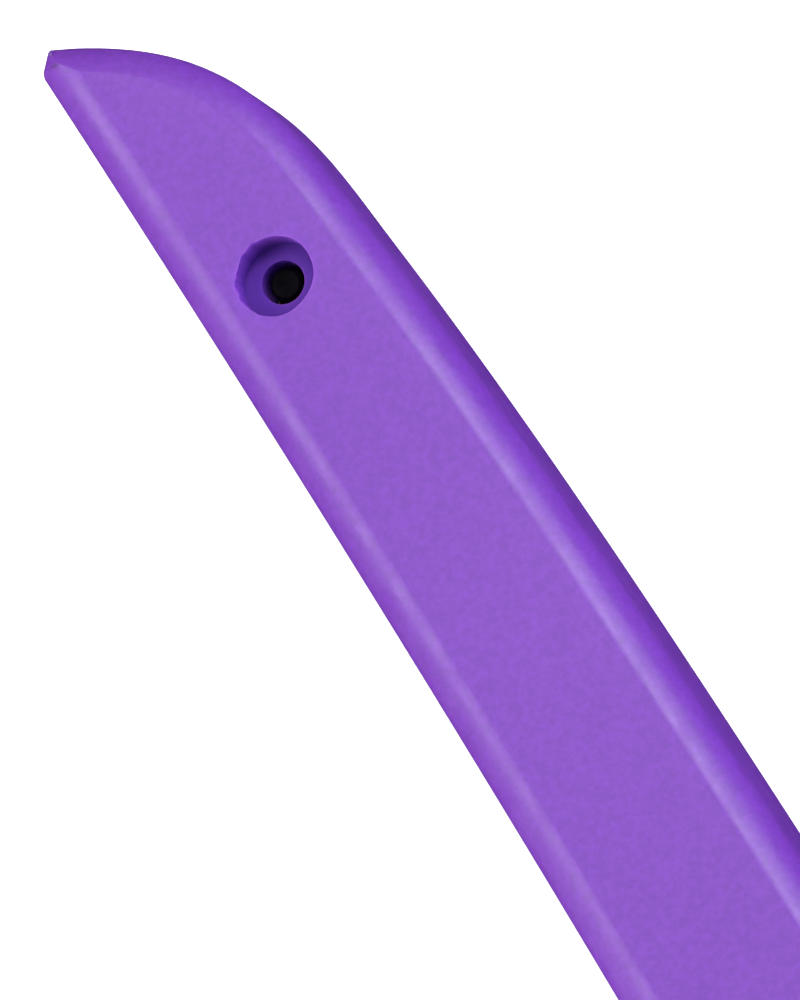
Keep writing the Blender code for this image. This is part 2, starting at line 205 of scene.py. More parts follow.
HEX_TURN = math.pi / 6
BARREL_RADIUS = 2.9
BARREL_TOP = 7.6
BARREL_RIM = 0.25
NUT_THREAD = (1.6, 2.4)
THREAD_RUN = 0.3
PIVOT_THREAD = (0.5, 0.16)
PIVOT_SHANK_RADIUS = 1.3
PIVOT_SHANK_END = 3.0
PIVOT_SLOT = (1.2, 0.7)
SLOT_REACH = 1.2
END_TAPER = (0.75, 0.7)
SMALL_CHAMFER = 0.1
SCREW_RADIUS = 0.8
SCREW_HEAD = (1.65, 0.9)
SCREW_THREAD = (0.45, 0.13)
PAN_RIM = (0.12, 0.5)
CROSS_WIDTH = 0.42
CROSS_REACH = 0.6
CROSS_DEPTH = 0.55
CROSS_PAST = 2.0
SCREW_POINT = 0.2
SCREW_DISH = 0.12
SCREW_FLAT = 0.15
SCREW_EDGE = (0.02, 0.05)
WAVE_WASHER = (3.2, 5.1, 0.35)
WAVE_WASHER_HUMPS = 3
WAVE_WASHER_RISE = 0.12
WAVE_WASHER_EDGE = 0.08
SPACER_RADIUS = 6.6
SPACER_EDGE = 0.2
WASHER_FLOOR = TOP - HEAD_THICKNESS - WAVE_WASHER[2] - 2 * GAP
THREAD_ROWS = 10
WASHER_STEPS = 120
WASHER_EDGE_STEPS = 3
TURNED_STEPS = 64
LARGE_STEPS = 96
SCREW_STEPS = 48
SHARP_ANGLE = math.radians(32)

# Colours, linear
PLASTIC_DEEP = (0.166, 0.041, 0.385)
PLASTIC_LIGHT = (0.186, 0.049, 0.412)
PLASTIC_SCUFF = (0.36, 0.20, 0.66)
# Painted shade: the darker purple of the screw recess's walls and floor stands in for the shade inside the
# hole
PLASTIC_RECESS_SHADE = (0.100, 0.017, 0.340)
PLASTIC_SCATTER = (1.0, 0.5, 1.6)

# Stage, lights and camera. The camera's and lamps' angles are in the thumb arm's frame.
FLOOR_SIZE = 1500.0
FLOOR_GAP = 0.05
FLOOR_GLOW = 0.75
SKY = [(0.42, 0.01), (0.62, 0.18), (1.0, 0.22)]
SENSOR = 36.0
LENS = 316.8
CLIP = (0.01, 20.0)
LOOK_AT = (43.79, -3.70, 5.5)
CAMERA_DISTANCE = 400.0
CAMERA_TILT = math.radians(24)
CAMERA_TOWARDS = math.radians(-157.05)
CAMERA_ROLL = math.radians(-123.92)
LAMP_DISTANCE = 600.0
WHITE = (1.0, 1.0, 1.0)
COOL = (0.90, 0.88, 1.20)
LAMPS = [
    ("softbox", math.radians(38), math.radians(44), (430.0, 560.0), 0.90, WHITE),
    ("edge_crest_light", math.radians(43), math.radians(57), (90.0, 260.0), 0.55, WHITE),
    ("crest_light", math.radians(27.5), math.radians(-49), (130.0, 240.0), 1.25, WHITE),
    ("crest_fill", math.radians(48), math.radians(-64), (300.0, 300.0), 0.95, WHITE),
    ("side_fill", math.radians(76), math.radians(-118), (400.0, 500.0), 4.1, COOL),
    ("edge_fill", math.radians(76), math.radians(104), (400.0, 500.0), 4.8, WHITE),
]


# --- outlines -------------------------------------------------------------------------------------


def bezier(start, first, second, end, steps):
    """Points on one cubic curve, its start left out."""
    t = np.linspace(0, 1, steps + 1)[1:, None]
    corners = [np.array(p, float) for p in (start, first, second, end)]
    weights = ((1 - t) ** 3, 3 * t * (1 - t) ** 2, 3 * t * t * (1 - t), t ** 3)
    return sum(w * c for w, c in zip(weights, corners))


def arc(radius, start, end, steps):
    """Points round the pivot from one angle to another, in degrees."""
    a = np.radians(np.linspace(start, end, steps + 1))
    return np.stack([radius * np.cos(a), radius * np.sin(a)], 1)


def smooth_chain(knots):
    """A curve through knots with automatic handles; its two ends keep straight ones."""
    knots = [np.array(k, float) for k in knots]
    handles = []
    for i, knot in enumerate(knots):
        if i in (0, len(knots) - 1):
            other = knots[1] if i == 0 else knots[-2]
            handle = knot + (other - knot) / 3
            handles.append((handle, handle))
            continue
        before, after = knot - knots[i - 1], knots[i + 1] - knot
        la, lb = np.linalg.norm(before), np.linalg.norm(after)
        tangent = before / la + after / lb
        tangent /= np.linalg.norm(tangent) * AUTO_HANDLE
        handles.append((knot - tangent * la, knot + tangent * lb))
    points = [knots[0][None]]
    for i in range(len(knots) - 1):
        points.append(bezier(knots[i], handles[i][1], handles[i + 1][0], knots[i + 1], CHAIN_STEPS))
    return np.concatenate(points)


def back_points():
    """The arm's back from the tip facet to the boss."""
    nose = bezier(TIP_FACET[1], *NOSE_HANDLES, NOSE_END, BACK_STEPS)
    return np.concatenate([[TIP_FACET[1]], nose, bezier(NOSE_END, *BACK_HANDLES, BACK_END, BACK_STEPS)])


def cut_side_points():
    """The cutting side from the choil to the tip facet, bowed along a shallow parabola."""
    t = np.linspace(0, 1, CUT_SIDE_STEPS + 1)
    x = CHOIL_X + (TIP_FACET[0][0] - CHOIL_X) * t
    return np.stack([x, CUT_SIDE_Y - CUT_SIDE_BOW * 4 * t * (1 - t)], 1)


def eased(before, corner, after):
    """A small round in place of a sharp corner of the tip."""
    before, corner, after = (np.array(p, float) for p in (before, corner, after))
    start, end = (corner + (p - corner) * TIP_EASE / np.linalg.norm(p - corner) for p in (before, after))
    first, second = (start + 2 * corner) / 3, (end + 2 * corner) / 3
    return np.concatenate([[start], bezier(start, first, second, end, EASE_STEPS)])


def arm_outline(bow):
    """The whole arm seen from outside, clockwise: cutting side, nose, back, boss, shank, bow and back."""
    shank = math.degrees(math.asin(SHANK_SIDE_Y / BOSS_RADIUS))
    handle = smooth_chain([SHANK_STRAIGHT_END, *bow, *SHANK_NECK, NECK])
    cutting, back = cut_side_points(), back_points()
    return np.concatenate([
        cutting[:-1],
        eased(cutting[-2], cutting[-1], back[0]),
        eased(cutting[-1], back[0], back[1]),
        back[2:],
        arc(BOSS_RADIUS, -90, -180 - shank, BOSS_BACK_STEPS),
        handle,
        arc(BOSS_RADIUS, BOSS_MEETS_NECK, BOSS_MEETS_CHOIL, BOSS_FRONT_STEPS),
    ])


def resample(points):
    """Points along a closed polyline, closest together at the tip, with its sharp corners kept."""
    loop = np.concatenate([points, points[:1]])
    keep = np.linalg.norm(np.diff(loop, axis=0), axis=1) > SAME_PLACE
    loop = np.concatenate([loop[:-1][keep], loop[-1:]])
    length = np.concatenate([[0], np.cumsum(np.linalg.norm(np.diff(loop, axis=0), axis=1))])
    t = np.diff(loop, axis=0)
    t /= np.linalg.norm(t, axis=1)[:, None]
    turn = np.degrees(np.arccos(np.clip((t * np.roll(t, 1, 0)).sum(1), -1, 1)))
    corners = [0.0] + [length[i] for i in range(1, len(t)) if turn[i] > SHARP_TURN] + [length[-1]]
    out = []
    for start, end in zip(corners, corners[1:]):
        place = start
        while place < end - TIP_STEP / 2:
            out.append(place)
            here = [np.interp(place, length, loop[:, k]) for k in (0, 1)]
            away = math.dist(here, TIP_FACET[0]) - TIP_REACH
            place += TIP_STEP + (OUTLINE_STEP - TIP_STEP) * min(max(away / TIP_REACH, 0.0), 1.0)
    return np.stack([np.interp(out, length, loop[:, k]) for k in (0, 1)], 1)


def blend_corner(points, centre, reach):
    """Rounds the outline where it turns sharply near a place, by averaging neighbours."""
    away = np.linalg.norm(points - np.array(centre), axis=1)
    weight = np.clip(1 - away / reach, 0, 1)[:, None] ** 0.5
    for _ in range(BLEND_PASSES):
        mean = (np.roll(points, 1, 0) + np.roll(points, -1, 0)) / 2
        points = points + (mean - points) * weight * BLEND_PULL
    return points


def inset(points, distance, hole=False):
    """Points moved into the material by their own distances, with what crosses at the tip drawn together."""
    area = np.sum(points[:, 0] * np.roll(points[:, 1], -1) - np.roll(points[:, 0], -1) * points[:, 1])
    area = -area if hole else area
    after = np.roll(points, -1, 0) - points
    after /= np.linalg.norm(after, axis=1)[:, None]
    before = np.roll(after, 1, 0)
    side = 1 if area > 0 else -1
    na, nb = (side * np.stack([-t[:, 1], t[:, 0]], 1) for t in (after, before))
    middle = na + nb
    middle /= np.linalg.norm(middle, axis=1)[:, None]
    stretch = np.maximum((middle * na).sum(1), LEAST_COSINE)
    moved = points + middle * (distance / stretch)[:, None]
    return moved if hole else uncrossed(moved)


def uncrossed(points):
    """Near the tip the two sides' inset lines cross: the loop past their crossing is drawn to it."""
    n = len(points)
    tip = int(np.argmax(points[:, 0]))
    order = (tip + np.arange(-TIP_WINDOW, TIP_WINDOW)) % n
    start = points[order]
    step = points[(order + 1) % n] - start
    best = None
    for i in range(len(order) - 2):
        found = crossing(start[i], step[i], start[i + 2:], step[i + 2:])
        if found is not None and (best is None or found[0] + 2 > best[1] - best[0]):
            best = (i, i + 2 + found[0], found[1])
    if best is None:
        return points
    points = points.copy()
    points[order[best[0] + 1:best[1] + 1]] = best[2]
    return points


def crossing(start, step, starts, steps):
    """The last of some segments that one segment crosses, as (its index, the crossing), or None."""
    det = step[0] * steps[:, 1] - step[1] * steps[:, 0]
    det = np.where(abs(det) < PARALLEL, np.inf, det)
    away = starts - start
    t = (away[:, 0] * steps[:, 1] - away[:, 1] * steps[:, 0]) / det
    u = (away[:, 0] * step[1] - away[:, 1] * step[0]) / det
    hits = np.nonzero((t >= 0) & (t <= 1) & (u >= 0) & (u <= 1))[0]
    return (int(hits[-1]), start + step * t[hits[-1]]) if len(hits) else None


# --- meshes ---------------------------------------------------------------------------------------


def handle_share(points):
    """How far each point of an outline is along from the cover's rim to the handle's fuller one."""
    x = points[:, 0]
    t = np.clip((RIM_GROWS_X[0] - x) / (RIM_GROWS_X[0] - RIM_GROWS_X[1]), 0, 1)
    return t * t * (3 - 2 * t)


def side_rings(points, hole):
    """Rings from the sunk face over the crest and round the rim to the parting line at z = 0."""
    share = handle_share(points)
    cutting = np.clip((points[:, 1] - CUT_SIDE_BAND[0]) / CUT_SIDE_BAND[1], 0, 1)
    cutting *= np.clip((points[:, 0] - BOSS_RADIUS) / CUT_SIDE_FADE, 0, 1)
    radius = COVER_RIM + (BOW_RIM - COVER_RIM) * share + CUT_SIDE_RIM * cutting
    drop = COVER_RIM + (BOW_DROP - COVER_RIM) * share
    rings = []
    for t in (0.0, 0.5):
        width = SUNK_WIDTH * (1 - t) * (1 - share)
        sunk = SUNK_DEPTH * (1 - t * t * (3 - 2 * t)) * (1 - share)
        rings.append((inset(points, radius + CREST_FLAT + width, hole), TOP - sunk))
    rings.append((inset(points, radius + CREST_FLAT, hole), np.full(len(points), TOP)))
    low, level = math.sin(CREST_ANGLE), math.cos(CREST_ANGLE)
    for i in range(RIM_STEPS + 1):
        a = CREST_ANGLE + (math.pi / 2 - CREST_ANGLE) * i / RIM_STEPS
        across = (1 - math.sin(a)) / (1 - low)
        height = TOP - drop * (level - math.cos(a)) / level
        rings.append((inset(points, radius * across + DRAFT, hole), height))
    rings.append((inset(points, np.full(len(points), DRAFT / 2), hole), (TOP - drop) * MID_WALL))
    fade = np.clip((points[:, 0] - BASE_ROUND_X[0]) / (BASE_ROUND_X[1] - BASE_ROUND_X[0]), 0, 1)
    under = BASE_ROUND * fade
    for i in range(BASE_STEPS + 1):
        a = math.pi / 2 * i / BASE_STEPS
        height = FIRST_PLASTIC + BASE_ROUND * (1 - math.sin(a))
        rings.append((inset(points, under * (1 - math.cos(a)) + WELD, hole), np.full(len(points), height)))
    rings.append((inset(points, under + WELD, hole), np.zeros(len(points))))
    return rings


def loft(name, loops):
    """A solid with a rounded rim on both faces; the loops after the first are holes through it."""
    body = bmesh.new()
    for number, points in enumerate(loops):
        rings = side_rings(points, hole=number > 0)
        stack = rings + [(ring, -height) for ring, height in reversed(rings[:-1])]
        rows = [
            [body.verts.new((p[0] * MM, p[1] * MM, z * MM)) for p, z in zip(ring, height)]
            for ring, height in stack
        ]
        for upper, lower in zip(rows, rows[1:]):
            for i in range(len(upper)):
                j = (i + 1) % len(upper)
                body.faces.new((upper[i], upper[j], lower[j], lower[i]))
    bmesh.ops.remove_doubles(body, verts=body.verts, dist=WELD * MM)
    open_edges = [edge for edge in body.edges if edge.is_boundary]
    for sign in (1, -1):
        face_edges = [edge for edge in open_edges if edge.verts[0].co.z * sign > 0]
        bmesh.ops.triangle_fill(body, use_beauty=True, use_dissolve=False, edges=face_edges)
    return object_of(name, body)


def object_of(name, body):
    """An object of a finished bmesh, with its faces turned outwards."""
    bmesh.ops.recalc_face_normals(body, faces=body.faces)
    mesh = bpy.data.meshes.new(name)
    body.to_mesh(mesh)
    body.free()
    return bpy.data.objects.new(name, mesh)


def ellipse(x, y, half_length, half_width, turn):
    a = np.linspace(0, 2 * math.pi, HOLE_STEPS, endpoint=False)
    u, v = half_length * np.cos(a), half_width * np.sin(a)
    along, across = math.cos(turn), math.sin(turn)
    return np.stack([x + u * along - v * across, y + u * across + v * along], 1)


def prism(name, points, low, high):
    body = bmesh.new()
    rings = [[body.verts.new((p[0] * MM, p[1] * MM, z * MM)) for p in points] for z in (low, high)]
    body.faces.new(rings[0])
    body.faces.new(rings[1])
    for i in range(len(points)):
        j = (i + 1) % len(points)
        body.faces.new((rings[0][i], rings[0][j], rings[1][j], rings[1][i]))
    return object_of(name, body)


def lathe(name, profile, at=(0.0, 0.0), steps=TURNED_STEPS, start=0.0, shape=None):
    """A turned solid from (radius, height) pairs that begin and end on the axis.

    shape gives each point's change of radius from its angle and height, for threads and ragged lips.
    """
    body = bmesh.new()
    rings = []
    for radius, height in profile:
        count = steps if radius else 1
        ring = []
        for i in range(count):
            a = start + 2 * math.pi * i / steps
            r = radius + (shape(a, height) if shape and radius else 0.0)
            x, y = at[0] + r * math.cos(a), at[1] + r * math.sin(a)
            ring.append(body.verts.new((x * MM, y * MM, height * MM)))
        rings.append(ring)
    for upper, lower in zip(rings, rings[1:]):
        for i in range(steps):
            j = (i + 1) % steps
            quad = [upper[i % len(upper)], upper[j % len(upper)]]
            quad = list(dict.fromkeys(quad + [lower[j % len(lower)], lower[i % len(lower)]]))
            if len(quad) > 2:
                body.faces.new(quad)
    return object_of(name, body)


def combine(item, tools, operation="DIFFERENCE"):
    """Applies each tool to the item's mesh and removes the tool."""
    scene = bpy.context.scene
    for thing in (item, *tools):
        if thing.name not in scene.collection.objects:
            scene.collection.objects.link(thing)
    for tool in tools:
        boolean = item.modifiers.new(tool.name, "BOOLEAN")
        boolean.operation = operation
        boolean.solver = "MANIFOLD"
        boolean.object = tool
    bpy.context.view_layer.update()
    graph = bpy.context.evaluated_depsgraph_get()
    mesh = bpy.data.meshes.new_from_object(item.evaluated_get(graph))
    item.modifiers.clear()
    item.data = mesh
    for tool in tools:
        bpy.data.objects.remove(tool)
    return item


def finish_piece(item, where, body, node, material):
    """Puts a piece where its arm is, shades it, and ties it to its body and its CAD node."""
    item.data.transform(where)
    if item.name not in bpy.context.scene.collection.objects:
        bpy.context.scene.collection.objects.link(item)
    item.data.materials.clear()
    item.data.materials.append(material)
    item.data.shade_smooth()
    item.data.set_sharp_from_angle(angle=SHARP_ANGLE)
    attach(item, body)
    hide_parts(node)
    return item


# --- arms -----------------------------------------------------------------------------------------


def blade_top(x):
    reach = math.hypot(EDGE_START_X, EDGE_Y)
    touch = math.acos(TANG_RADIUS / reach) + math.atan2(EDGE_Y, EDGE_START_X)
    touch_x, touch_y = TANG_RADIUS * math.cos(touch), TANG_RADIUS * math.sin(touch)
    if x <= touch_x:
        return math.sqrt(max(TANG_RADIUS ** 2 - x * x, 0.0))
    return float(np.interp(x, [touch_x, EDGE_START_X], [touch_y, EDGE_Y]))


def smooth_step(low, high, value):
    t = min(max((value - low) / (high - low), 0.0), 1.0)
    return t * t * (3 - 2 * t)


BACK = back_points()[::-1]


def blade_bottom(x):
    if x <= 0.0:
        return -math.sqrt(max(TANG_RADIUS ** 2 - x * x, 0.0))
    wide = -float(np.interp(x, BACK[:, 0], BACK[:, 1])) - COVER_WALL
    return -(TANG_RADIUS + (wide - TANG_RADIUS) * smooth_step(0.0, TANG_END_X, x))


def pocket_tool():
    """The space in the arm for its blade, open on the cutting side."""
    tang = np.linspace(TANG_START_X - GAP, TANG_END_X, POCKET_STEPS[0])
    x = np.concatenate([tang, np.linspace(TANG_END_X, BLADE_END_X + GAP, POCKET_STEPS[1])[1:]])
    top = [(v, blade_top(max(v, TANG_START_X)) + GAP if v < EDGE_START_X else POCKET_OPEN_SIDE) for v in x]
    bottom = [(v, blade_bottom(min(max(v, TANG_START_X), BLADE_END_X)) - GAP) for v in x[::-1]]
    return prism("pocket", top + bottom, -FAR, POCKET_FLOOR)


def inner_half_tool():
    """What is cut from the inner half: all that is ahead of the pivot, and a half disc behind it."""
    turn = arc(SWEEP_RADIUS, 90, 270, SWEEP_STEPS)
    side = [(0.0, -HALF_CUT_SIDE), (HALF_CUT_REACH, -HALF_CUT_SIDE)]
    side += [(HALF_CUT_REACH, HALF_CUT_SIDE), (0.0, HALF_CUT_SIDE)]
    return prism("inner_half", [tuple(p) for p in turn] + side, -FAR, FIRST_PLASTIC)


def lip(radius, top, size, floor):
    """A bore's profile from the open air down, with a rounded lip at the face."""
    wide, face = radius + size * LIP_REACH, top + LIP_RISE
    profile = [(0.0, top + FAR), (wide, top + FAR), (wide, face), (radius + size, face)]
    for i in range(LIP_STEPS + 1):
        a = math.pi / 2 * i / LIP_STEPS
        profile.append((radius + size * (1 - math.sin(a)), top - size * (1 - math.cos(a))))
    return profile + [(radius, floor), (0.0, floor)]


def ragged(angle, height):
    """Uneven edge of the screw recess, worst on one side and deepest at the lip."""
    side = max(0.0, math.cos((angle - RAGGED_AT) * RAGGED_SPREAD)) ** RAGGED_FALL
    near_lip = min(max((height - (TOP - RAGGED_DEPTH)) / RAGGED_DEPTH, 0.0), 1.0)
    chips = sum(size * math.sin(angle * count + phase) for count, phase, size in RAGGED_CHIPS)
    oval = RAGGED_OVAL[1] * math.sin(angle * RAGGED_OVAL[0])
    return (RAGGED_SIZE * side * chips + RAGGED_SIZE * oval) * near_lip


def arm(name, bow, hole, head_tool):
    """One moulded arm, cut for its blade, its blade screw and the pivot."""
    outer = resample(arm_outline(bow))
    for corner in (CHOIL_CORNER, NECK_CORNER):
        outer = blend_corner(outer, corner, CORNER_BLEND)
    outer = blend_corner(outer, (-BOSS_RADIUS, SHANK_SIDE_Y), SHANK_BLEND)
    item = loft(name, [outer, ellipse(*hole)])
    stepped = lip(RECESS_RADIUS, TOP, RECESS_LIP, RECESS_FLOOR)
    recess = lathe("recess", stepped, SCREW_AT, RECESS_STEPS, shape=ragged)
    step = RECESS_FLOOR + PILOT_OVERLAP
    pilot = lathe("pilot", [(0, step), (PILOT_RADIUS, step), (PILOT_RADIUS, 0), (0, 0)], SCREW_AT)
    bore = lathe("bore", [(0, FAR), (PIVOT_BORE, FAR), (PIVOT_BORE, -FAR), (0, -FAR)])
    item = combine(item, [inner_half_tool(), pocket_tool(), recess, pilot, bore, head_tool])
    # Paints shade into the screw's recess
    mark_recess_shade(item)
    return item


def mark_recess_shade(item):
    """Marks the walls and floor of the screw's stepped hole with painted shade: they are drawn darker, and
    rougher, than the skin.
    """
    recess_shade = item.data.attributes.new("recess_shade", "FLOAT", "POINT")
    for vertex, value in zip(item.data.vertices, recess_shade.data):
        away = math.dist((vertex.co.x / MM, vertex.co.y / MM), SCREW_AT)
        inside = away < RECESS_RADIUS + RECESS_LIP / 2 and vertex.co.z / MM < TOP - RECESS_LIP
        value.value = 1.0 if inside else 0.0


def thumb_arm():
    seat = lip(HEAD_RADIUS + GAP, TOP, LIP_SIZE, WASHER_FLOOR)
    counterbore = lathe("counterbore", seat, steps=LARGE_STEPS)
    item = arm("thumb_arm_moulding", THUMB_BOW, THUMB_HOLE, counterbore)
    return finish_piece(item, THUMB_FRAME, "thumb_side", "thumb_arm", purple)


def finger_arm():
    seat = lip(NUT_ACROSS_CORNERS / 2 + GAP, TOP, LIP_SIZE, TOP - NUT_FLANGE - GAP)
    hexagon = lathe("hexagon", seat, steps=HEX_SIDES, start=HEX_TURN)
    item = arm("finger_arm_moulding", FINGER_BOW, FINGER_HOLE, hexagon)
    return finish_piece(item, FINGER_FRAME, "finger_side", "finger_arm", purple)


# --- blades ---------------------------------------------------------------------------------------


def wave_height(x, y):
    """The wave depends only on the distance from the pivot, so the blades slide past each other."""
    radius = math.hypot(x, y)
    growth = smooth_step(WAVE_START_R, WAVE_FULL_R, radius)
    return WAVE_AMPLITUDE * growth * math.sin(2 * math.pi * (radius - WAVE_START_R) / WAVE_LENGTH)


def blade_height(x, y, depth, wave_sign):
    flat = max(smooth_step(*WAVE_BAND, depth), 1 - smooth_step(TANG_END_X - TANG_BLEND, TANG_END_X, x))
    return BLADE_FACE + (1 - flat) * wave_sign * wave_height(x, y) + flat * WAVE_AMPLITUDE


def blade_grids(wave_sign):
    """The inner and outer surfaces of the stamped sheet, with the cutting edge ground thin."""
    columns = np.linspace(TANG_START_X, BLADE_END_X, BLADE_COLUMNS)
    band = np.linspace(0, WAVE_BAND[1], BAND_ROWS + 1)
    inner = np.empty((BLADE_COLUMNS, BAND_ROWS + 1 + FLANGE_ROWS, 3))
    depths = np.empty(inner.shape[:2])
    for i, x in enumerate(columns):
        top = blade_top(x)
        rest = np.linspace(WAVE_BAND[1], top - blade_bottom(x), FLANGE_ROWS + 1)[1:]
        depths[i] = np.concatenate([band, rest])
        for j, depth in enumerate(depths[i]):
            y = top - depth
            inner[i, j] = (x, y, blade_height(x, y, depth, wave_sign))
    along, across = np.gradient(inner, axis=0), np.gradient(inner, axis=1)
    normal = np.cross(across, along)
    normal /= np.linalg.norm(normal, axis=2)[:, :, None]
    thin = np.clip(depths / GROUND_WIDTH, 0, 1)
    thickness = GROUND_EDGE + (BLADE_THICKNESS - GROUND_EDGE) * thin
    return inner, inner + normal * thickness[:, :, None]


def blade(name, wave_sign):
    inner, outer = blade_grids(wave_sign)
    body = bmesh.new()
    sheets = [[[body.verts.new(p * MM) for p in row] for row in grid] for grid in (inner, outer)]
    n, m = inner.shape[:2]
    for sheet in sheets:
        for i in range(n - 1):
            for j in range(m - 1):
                body.faces.new((sheet[i][j], sheet[i + 1][j], sheet[i + 1][j + 1], sheet[i][j + 1]))
    a, b = sheets
    for j in (0, m - 1):
        for i in range(n - 1):
            body.faces.new((a[i][j], a[i + 1][j], b[i + 1][j], b[i][j]))
    for i in (0, n - 1):
        for j in range(m - 1):
            body.faces.new((a[i][j], a[i][j + 1], b[i][j + 1], b[i][j]))
    item = object_of(name, body)
    hole = lathe("hole", [(0, FAR), (BLADE_HOLE_RADIUS, FAR), (BLADE_HOLE_RADIUS, -FAR), (0, -FAR)], SCREW_AT)
    bore = lathe("bore", [(0, FAR), (PIVOT_BORE, FAR), (PIVOT_BORE, -FAR), (0, -FAR)])
    return combine(item, [hole, bore])


# --- screws, nut and washers ----------------------------------------------------------------------


def thread(pitch, depth):
    """A V thread's change of radius at an angle and a height."""
    def shape(angle, height):
        turn = (height / pitch - angle / (2 * math.pi)) % 1.0
        return -depth * abs(2 * turn - 1)
    return shape


def thread_rows(radius, low, high, pitch):
    """Rings down a threaded length, from high to low."""
    count = round((high - low) / pitch * THREAD_ROWS)
    return [(radius, high + (low - high) * i / count) for i in range(count + 1)]


def rounded(radius, height, size, steps=4):
    """(radius, height) pairs round a convex rim, from its face out to its wall below."""
    found = []
    for i in range(steps + 1):
        a = math.pi / 2 * i / steps
        found.append((radius - size * (1 - math.sin(a)), height - size * (1 - math.cos(a))))
    return found


def box(name, centre, halves, low, high):
    """An upright box, from its centre and half sizes in the plane and its two heights."""
    (x, y), (half_x, half_y) = centre, halves
    corners = [(x - half_x, y - half_y), (x + half_x, y - half_y)]
    corners += [(x + half_x, y + half_y), (x - half_x, y + half_y)]
    return prism(name, corners, low, high)


def blade_screw(name):
    """A pan-head screw driven from the inner side through the blade into the arm."""
    radius, height = SCREW_HEAD
    under = FLANGE_FACE - GAP
    face = under - height
    shoulder = SCREW_END - SCREW_POINT
    pitch, thread_depth = SCREW_THREAD
    edge, pan_round = PAN_RIM
    end = [(0, SCREW_END - SCREW_DISH), (SCREW_RADIUS - SCREW_FLAT, SCREW_END)]
    end += [(SCREW_RADIUS - SCREW_EDGE[0], shoulder + SCREW_EDGE[1])]
    threads = thread_rows(SCREW_RADIUS, under, shoulder, pitch)
    shape_of = thread(pitch, thread_depth)
    pan = [(r, face + under - h) for r, h in reversed(rounded(radius, under - edge, pan_round))]
    profile = end + threads + [(radius - SMALL_CHAMFER, under), (radius, under - edge)]
    profile += pan + [(0, face + edge)]
    item = lathe(name, profile, SCREW_AT, SCREW_STEPS,
                 shape=lambda a, h: shape_of(a, h) if under < h <= shoulder else 0.0)
    reach, half = radius * CROSS_REACH, CROSS_WIDTH / 2
    low, depth = face - CROSS_PAST, face + height * CROSS_DEPTH
    along = box("along", SCREW_AT, (reach, half), low, depth)
    across = box("across", SCREW_AT, (half, reach), low, depth)
    return combine(item, [along, across])


def pivot_screw():
    """A slotted screw with a low domed head and a threaded shank."""
    low = 2 * TOP - HEAD_THICKNESS
    dome = [(HEAD_RADIUS * HEAD_DOME_SPAN * t, 2 * TOP - HEAD_DOME * t * t) for t in DOME_RINGS]
    rim = [(r, h - HEAD_DOME) for r, h in rounded(HEAD_RADIUS, 2 * TOP, *HEAD_RIM)]
    under = [(HEAD_RADIUS, low + SMALL_CHAMFER), (HEAD_RADIUS - SMALL_CHAMFER, low)]
    pitch, depth = PIVOT_THREAD
    start, stop = PIVOT_SHANK_END + THREAD_RUN, low - pitch
    neck = [(PIVOT_SHANK_RADIUS, low)]
    threads = thread_rows(PIVOT_SHANK_RADIUS, start, stop, pitch)
    end = [(PIVOT_SHANK_RADIUS * END_TAPER[0], PIVOT_SHANK_END), (0, PIVOT_SHANK_END)]
    shape_of = thread(pitch, depth)
    item = lathe("pivot_screw_turned", dome + rim + under + neck + threads + end, steps=LARGE_STEPS,
                 shape=lambda a, h: shape_of(a, h) if start <= h <= stop else 0.0)
    halves, floor = (HEAD_RADIUS * SLOT_REACH, PIVOT_SLOT[0] / 2), 2 * TOP - PIVOT_SLOT[1]
    return combine(item, [box("slot", (0.0, 0.0), halves, floor, 2 * TOP + CROSS_PAST)])


def pivot_nut():
    """A blind barrel nut whose hexagonal flange keys it in the finger arm."""
    corner = NUT_ACROSS_CORNERS / 2
    low_in, low_up, top_down, top_in = NUT_CHAMFER
    hexagon = [(0, 0), (corner - low_in, 0), (corner, low_up), (corner, NUT_FLANGE - top_down)]
    hexagon += [(corner - top_in, NUT_FLANGE), (0, NUT_FLANGE)]
    item = lathe("pivot_nut_turned", hexagon[::-1], steps=HEX_SIDES, start=HEX_TURN)
    barrel = rounded(BARREL_RADIUS, BARREL_TOP, BARREL_RIM)
    shell = [(0, BARREL_TOP)] + barrel + [(BARREL_RADIUS, NUT_FLANGE / 2), (0, NUT_FLANGE / 2)]
    item = combine(item, [lathe("barrel", shell, steps=LARGE_STEPS)], "UNION")
    radius, floor = NUT_THREAD
    pitch, depth = PIVOT_THREAD
    start, stop = floor + THREAD_RUN, BARREL_TOP - BARREL_RIM
    mouth = [(0, BARREL_TOP + 1), (radius + BARREL_RIM, BARREL_TOP + 1), (radius + BARREL_RIM, BARREL_TOP)]
    threads = thread_rows(radius, start, stop, pitch)
    shape_of = thread(pitch, depth)
    bore = lathe("thread", mouth + threads + [(radius * END_TAPER[1], floor), (0, floor)],
                 shape=lambda a, h: shape_of(a, h) if start <= h <= stop else 0.0)
    return combine(item, [bore])


def washer(name, inner, outer, low, high, edge, humps=0, rise=0.0):
    """A flat ring with rounded edges; humps lift it in waves round the ring."""
    body = bmesh.new()
    section = []
    for radius, side in ((outer, 1), (inner, -1)):
        for k, height in enumerate((high, low) if side > 0 else (low, high)):
            up = (1 if k == 0 else -1) * side
            for i in range(WASHER_EDGE_STEPS + 1):
                a = math.pi / 2 * i / WASHER_EDGE_STEPS
                cos_a, sin_a = (math.cos(a), math.sin(a)) if k else (math.sin(a), math.cos(a))
                section.append((radius - side * edge * (1 - cos_a), height - up * edge * (1 - sin_a)))
    rings = []
    for i in range(WASHER_STEPS):
        a = 2 * math.pi * i / WASHER_STEPS
        lift, x, y = rise * math.cos(humps * a), math.cos(a) * MM, math.sin(a) * MM
        rings.append([body.verts.new((r * x, r * y, (h + lift) * MM)) for r, h in section])
    for i, ring in enumerate(rings):
        other = rings[(i + 1) % len(rings)]
        for j in range(len(section)):
            k = (j + 1) % len(section)
            body.faces.new((ring[j], other[j], other[k], ring[k]))
    return object_of(name, body)


# --- materials ------------------------------------------------------------------------------------


